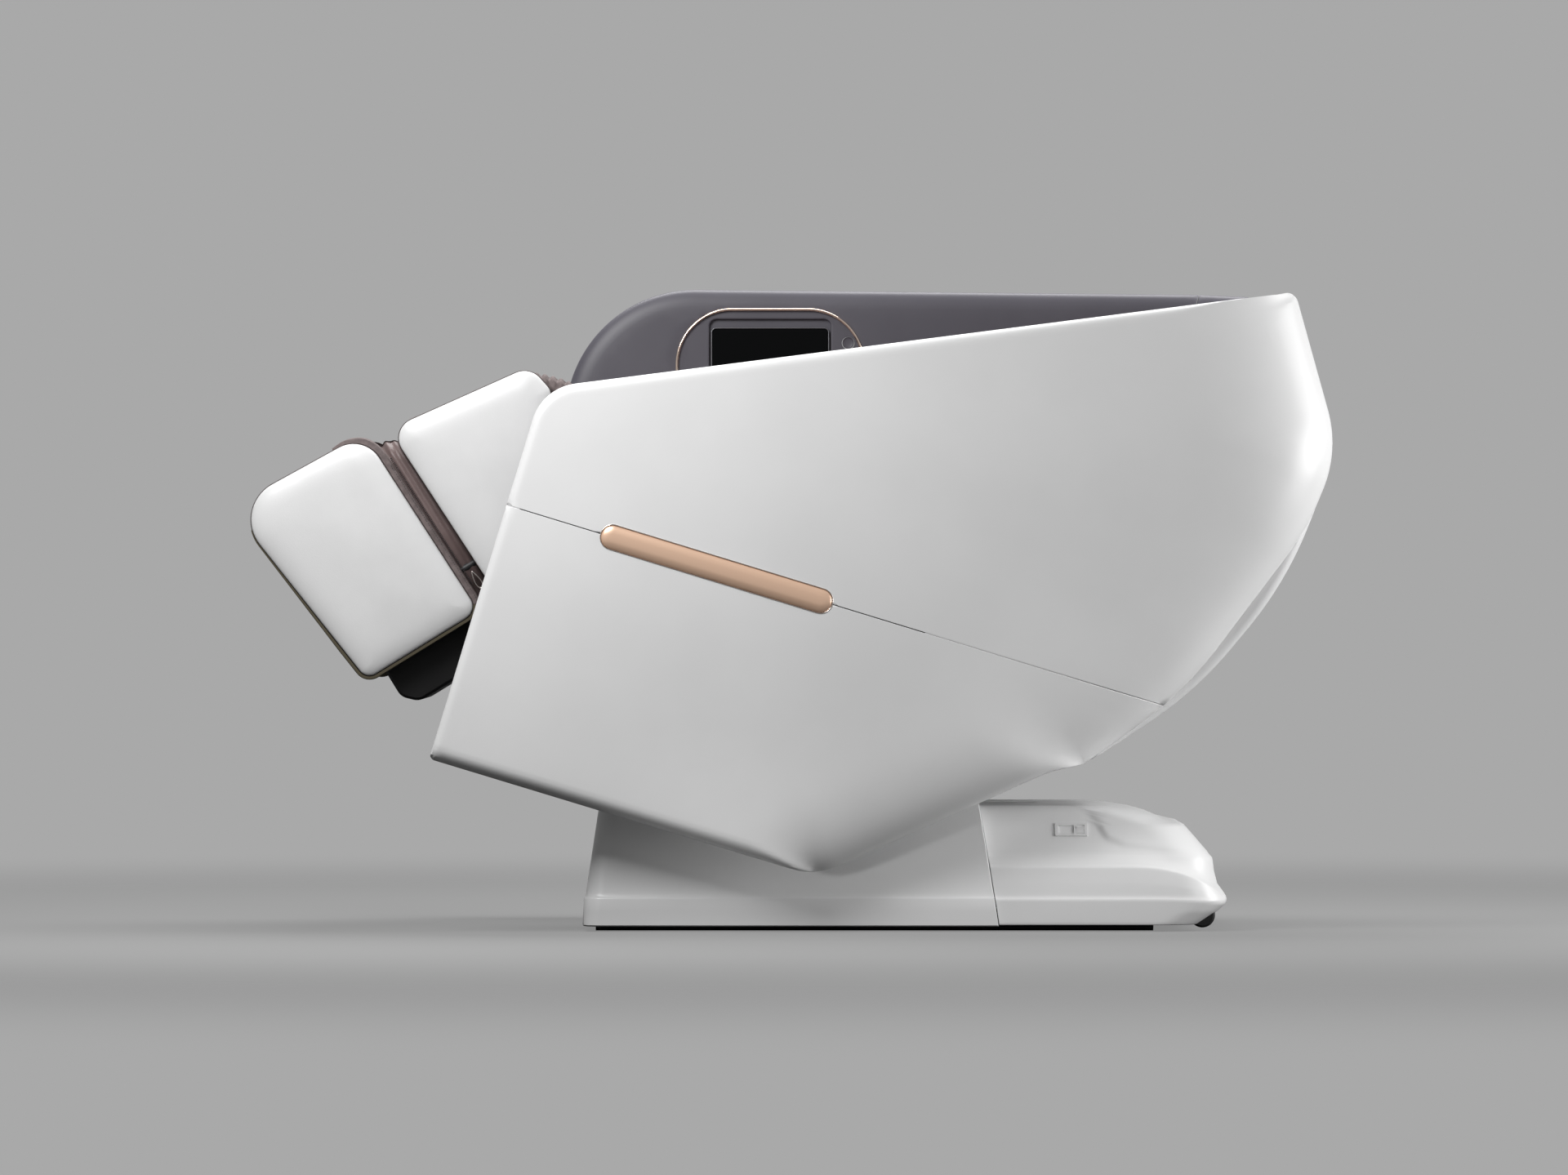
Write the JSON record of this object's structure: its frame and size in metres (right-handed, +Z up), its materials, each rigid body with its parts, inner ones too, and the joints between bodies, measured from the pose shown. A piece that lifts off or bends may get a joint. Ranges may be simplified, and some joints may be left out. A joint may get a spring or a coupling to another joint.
{
  "type": "massage chair",
  "caption": "Reclining pod massage chair with white side shells, a tall control wing with a screen, a padded calf and foot unit, and a low floor base.",
  "frame": {"origin": "on the floor, midway between the rubber floor strips, 134.4 mm behind the axis that the pod tilts on", "axes": "+Z up, -X towards the feet and +X towards the head, +Y towards the sitter's right, where the control wing stands"},
  "size_m": [1.6054, 0.808, 0.9681],
  "materials": {
    "white_shell": "satin white gloss",
    "grey_liner": "satin grey",
    "rose_gold": "satin rose gold",
    "ring_metal": "polished, warm tint",
    "screen_glass": "black glass",
    "black_plastic": "matte black",
    "steel_frame": "black powder coat",
    "bright_steel": "turned steel",
    "aluminium": "extruded",
    "brown_leather": "soft brown leather",
    "white_leather": "smooth white leather",
    "black_cloth": "woven black",
    "rubber": "black rubber",
    "roller_nylon": "moulded nylon"
  },
  "bodies": {
    "base": {"base_frame": "steel_frame", "floor_strips": "rubber", "base_front_cover": "white_shell", "base_rear_cover": "white_shell", "tilt_shaft": "bright_steel", "control_box": "black_plastic", "air_pump": "black_plastic", "power_inlet": "black_plastic"},
    "transport_wheels": {"transport_wheels": "rubber"},
    "rocker": {"rocker_switch": "black_plastic"},
    "tilt_ram_barrel": {"tilt_ram_body": "black_plastic"},
    "tilt_ram_piston": {"tilt_ram_rod": "bright_steel"},
    "pod": {"seat_frame": "steel_frame", "left_upper_shell": "white_shell", "left_lower_shell": "white_shell", "right_upper_shell": "white_shell", "right_lower_shell": "white_shell", "left_trim_bar": "rose_gold", "right_trim_bar": "rose_gold", "left_liner": "grey_liner", "control_wing": "grey_liner", "right_head_liner": "grey_liner", "screen_ring": "ring_metal", "tablet": "black_plastic", "tablet_glass": "screen_glass", "seat_cushion": "brown_leather", "left_arm_pad": "brown_leather", "right_arm_pad": "brown_leather", "front_apron": "black_cloth", "legrest_gearmotor": "black_plastic"},
    "button": {"round_button": "grey_liner"},
    "recline_ram_barrel": {"recline_ram_body": "black_plastic"},
    "recline_ram_piston": {"recline_ram_rod": "bright_steel"},
    "backrest": {"back_frame": "steel_frame", "back_cover": "white_shell", "back_pad": "brown_leather", "head_pillow": "brown_leather", "left_shoulder_bolster": "brown_leather", "right_shoulder_bolster": "brown_leather", "track_rails": "aluminium"},
    "carriage": {"carriage_frame": "steel_frame", "carriage_motor": "black_plastic"},
    "kneading_shaft": {"kneading_shaft": "bright_steel"},
    "left_massage_arm": {"left_massage_arm": "roller_nylon"},
    "right_massage_arm": {"right_massage_arm": "roller_nylon"},
    "left_lower_roller": {"left_lower_roller": "roller_nylon"},
    "left_upper_roller": {"left_upper_roller": "roller_nylon"},
    "right_lower_roller": {"right_lower_roller": "roller_nylon"},
    "right_upper_roller": {"right_upper_roller": "roller_nylon"},
    "calf_unit": {"calf_frame": "steel_frame", "left_calf_pad": "white_leather", "right_calf_pad": "white_leather", "calf_wells": "brown_leather", "calf_housing": "black_plastic"},
    "foot_unit": {"foot_frame": "steel_frame", "left_foot_pad": "white_leather", "right_foot_pad": "white_leather", "foot_wells": "brown_leather", "foot_housing": "black_plastic"},
    "sole_roller": {"sole_roller": "roller_nylon"}
  },
  "joints": [
    {"name": "pod_tilt", "type": "hinge", "parent": "base", "child": "pod", "pos_m": [-0.1344, 0, 0.2928], "axis": [0, -1, 0], "range_deg": [0, 17]},
    {"name": "backrest_recline", "type": "hinge", "parent": "pod", "child": "backrest", "pos_m": [-0.09831, 0, 0.54424], "axis": [0, -1, 0], "range_deg": [-4, 16]},
    {"name": "legrest_lift", "type": "hinge", "parent": "pod", "child": "calf_unit", "pos_m": [-0.50632, 0, 0.60519], "axis": [0, 1, 0], "range_deg": [-40, 25]},
    {"name": "foot_slide", "type": "slide", "parent": "calf_unit", "child": "foot_unit", "axis": [-0.8517, 0, -0.524], "range_m": [0, 0.12]},
    {"name": "sole_roller_spin", "type": "hinge", "parent": "foot_unit", "child": "sole_roller", "pos_m": [-0.87517, 0, 0.49098], "axis": [0, 1, 0], "continuous": true},
    {"name": "carriage_travel", "type": "slide", "parent": "backrest", "child": "carriage", "axis": [0.8771, 0, 0.4802], "range_m": [-0.195, 0.195]},
    {"name": "kneading_spin", "type": "hinge", "parent": "carriage", "child": "kneading_shaft", "pos_m": [0.30182, 0, 0.61509], "axis": [0, 1, 0], "continuous": true},
    {"name": "left_arm_rock", "type": "hinge", "parent": "carriage", "child": "left_massage_arm", "pos_m": [0.30182, -0.072, 0.61509], "axis": [0, 1, 0], "range_deg": [-6, 6]},
    {"name": "right_arm_rock", "type": "hinge", "parent": "carriage", "child": "right_massage_arm", "pos_m": [0.30182, 0.072, 0.61509], "axis": [0, 1, 0], "range_deg": [-6, 6]},
    {"name": "left_lower_roller_spin", "type": "hinge", "parent": "left_massage_arm", "child": "left_lower_roller", "pos_m": [0.21682, -0.095, 0.61416], "axis": [0, 1, 0], "continuous": true},
    {"name": "left_upper_roller_spin", "type": "hinge", "parent": "left_massage_arm", "child": "left_upper_roller", "pos_m": [0.3484, -0.095, 0.68619], "axis": [0, 1, 0], "continuous": true},
    {"name": "right_lower_roller_spin", "type": "hinge", "parent": "right_massage_arm", "child": "right_lower_roller", "pos_m": [0.21682, 0.095, 0.61416], "axis": [0, 1, 0], "continuous": true},
    {"name": "right_upper_roller_spin", "type": "hinge", "parent": "right_massage_arm", "child": "right_upper_roller", "pos_m": [0.3484, 0.095, 0.68619], "axis": [0, 1, 0], "continuous": true},
    {"name": "transport_wheels_spin", "type": "hinge", "parent": "base", "child": "transport_wheels", "pos_m": [0.438, 0, 0.024], "axis": [0, 1, 0], "continuous": true},
    {"name": "power_rocker", "type": "hinge", "parent": "base", "child": "rocker", "pos_m": [0.2576, -0.23926, 0.14466], "axis": [-1, 0, 0], "range_deg": [0, 14]},
    {"name": "button_press", "type": "slide", "parent": "pod", "child": "button", "axis": [0, 1, 0], "range_m": [0, 0.002], "stiffness_N_per_m": 500},
    {"name": "tilt_ram_sway", "type": "hinge", "parent": "base", "child": "tilt_ram_barrel", "pos_m": [-0.323, -0.06, 0.062], "axis": [0, -1, 0], "range_deg": [0, 1.2]},
    {"name": "tilt_ram_stroke", "type": "slide", "parent": "tilt_ram_barrel", "child": "tilt_ram_piston", "axis": [0.0039, 0, 1], "range_m": [-0.0575, 0]},
    {"name": "recline_ram_sway", "type": "hinge", "parent": "pod", "child": "recline_ram_barrel", "pos_m": [-0.34601, 0.06, 0.34286], "axis": [0, -1, 0], "range_deg": [-0.5, 0.5]},
    {"name": "recline_ram_stroke", "type": "slide", "parent": "recline_ram_barrel", "child": "recline_ram_piston", "axis": [0.9449, 0, 0.3275], "range_m": [-0.009, 0.032]}
  ],
  "couplings": [
    {"joint": "right_arm_rock", "follows": "left_arm_rock", "ratio": -1},
    {"joint": "tilt_ram_sway", "follows": "pod_tilt", "ratio": 0.054},
    {"joint": "tilt_ram_stroke", "follows": "pod_tilt", "m_per_rad": -0.18994},
    {"joint": "recline_ram_sway", "follows": "backrest_recline", "ratio": -0.0015},
    {"joint": "recline_ram_stroke", "follows": "backrest_recline", "m_per_rad": 0.10943}
  ]
}
